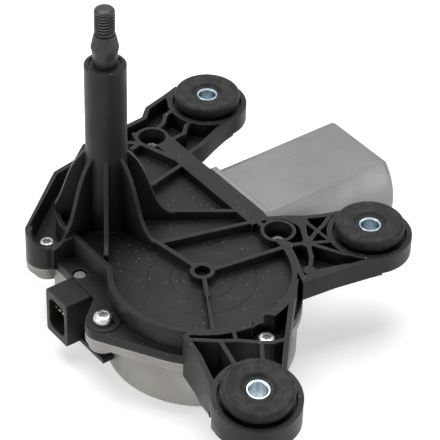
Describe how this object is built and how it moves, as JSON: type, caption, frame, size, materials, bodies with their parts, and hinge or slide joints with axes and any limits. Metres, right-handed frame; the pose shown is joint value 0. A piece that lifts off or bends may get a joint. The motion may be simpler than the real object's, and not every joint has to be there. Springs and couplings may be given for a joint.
{
  "type": "wiper motor",
  "caption": "Rear wiper motor: ribbed cover with a tall spindle tower and rubber-mounted feet, cast gearcase, side motor can; inside a worm gear swings the spindle through a link.",
  "frame": {"origin": "on the spindle's axis, at the foot of its M8 thread", "axes": "+Z along the spindle towards its tip; +X along the armature towards the closed end of the motor can; +Y from the third foot towards the connector's side of the spindle"},
  "size_m": [0.1596, 0.192, 0.1365],
  "materials": {
    "cover_nylon": "satin",
    "cast_aluminium": "satin",
    "gasket_rubber": "matte",
    "bright_zinc": "satin",
    "mount_rubber": "matte",
    "blue_zinc": "satin",
    "phosphated_steel": "matte",
    "ground_steel": "satin",
    "sintered_bronze": "matte",
    "gear_acetal": "satin",
    "lamination_steel": "matte",
    "copper_wire": "gloss",
    "phenolic": "satin",
    "copper_bar": "polished",
    "can_steel": "satin",
    "ferrite": "matte",
    "sheet_brass": "satin",
    "carbon": "matte",
    "connector_nylon": "satin",
    "circuit_board": "satin",
    "chip_epoxy": "matte"
  },
  "bodies": {
    "housing": {"cover": "cover_nylon", "gearcase": "cast_aluminium", "housing_gasket": "gasket_rubber", "cover_screws": "bright_zinc", "grommet_1": "mount_rubber", "grommet_2": "mount_rubber", "grommet_3": "mount_rubber", "mount_sleeve_1": "blue_zinc", "mount_sleeve_2": "blue_zinc", "mount_sleeve_3": "blue_zinc", "lower_bush": "sintered_bronze", "upper_bush": "sintered_bronze", "spindle_seal": "gasket_rubber", "thrust_washer": "ground_steel", "wheel_axle": "ground_steel", "wheel_washer": "ground_steel", "wheel_clip": "ground_steel", "nose_bush": "sintered_bronze", "thrust_pad": "gear_acetal", "front_bearing": "sintered_bronze", "rear_bearing": "sintered_bronze", "yoke": "can_steel", "yoke_screws": "bright_zinc", "magnets": "ferrite", "brush_card": "phenolic", "brush_boxes": "sheet_brass", "brushes": "carbon", "brush_springs": "ground_steel", "choke_coils": "copper_wire", "connector": "connector_nylon", "terminal_blades": "sheet_brass", "sensor_board": "circuit_board", "board_chips": "chip_epoxy", "feed_bars": "sheet_brass"},
    "armature": {"armature_shaft": "ground_steel", "rotor_core": "lamination_steel", "windings": "copper_wire", "commutator_hub": "phenolic", "commutator_bars": "copper_bar"},
    "wheel": {"worm_wheel": "gear_acetal", "crank_pin": "ground_steel", "crank_pin_clip": "ground_steel"},
    "output": {"spindle": "phosphated_steel", "rocker_arm": "ground_steel", "rocker_pin": "ground_steel"},
    "link": {"connecting_link": "ground_steel"}
  },
  "joints": [
    {"name": "armature_spin", "type": "hinge", "parent": "housing", "child": "armature", "pos_m": [0, -0.0158, -0.1059], "axis": [1, 0, 0], "range_deg": [-2250, 2250]},
    {"name": "wheel_turn", "type": "hinge", "parent": "housing", "child": "wheel", "pos_m": [0.0089, -0.0516, -0.1059], "axis": [0, 0, 1], "range_deg": [-45, 45]},
    {"name": "spindle_sweep", "type": "hinge", "parent": "housing", "child": "output", "pos_m": [0, 0, 0], "axis": [0, 0, 1], "range_deg": [-45, 45]},
    {"name": "link_swing", "type": "hinge", "parent": "output", "child": "link", "pos_m": [-0.01084, -0.00187, -0.0979], "axis": [0, 0, 1], "range_deg": [-45, 45]}
  ],
  "couplings": [
    {"joint": "wheel_turn", "follows": "armature_spin", "ratio": 0.02},
    {"joint": "spindle_sweep", "follows": "armature_spin", "ratio": 0.02},
    {"joint": "link_swing", "follows": "armature_spin", "ratio": -0.02}
  ]
}
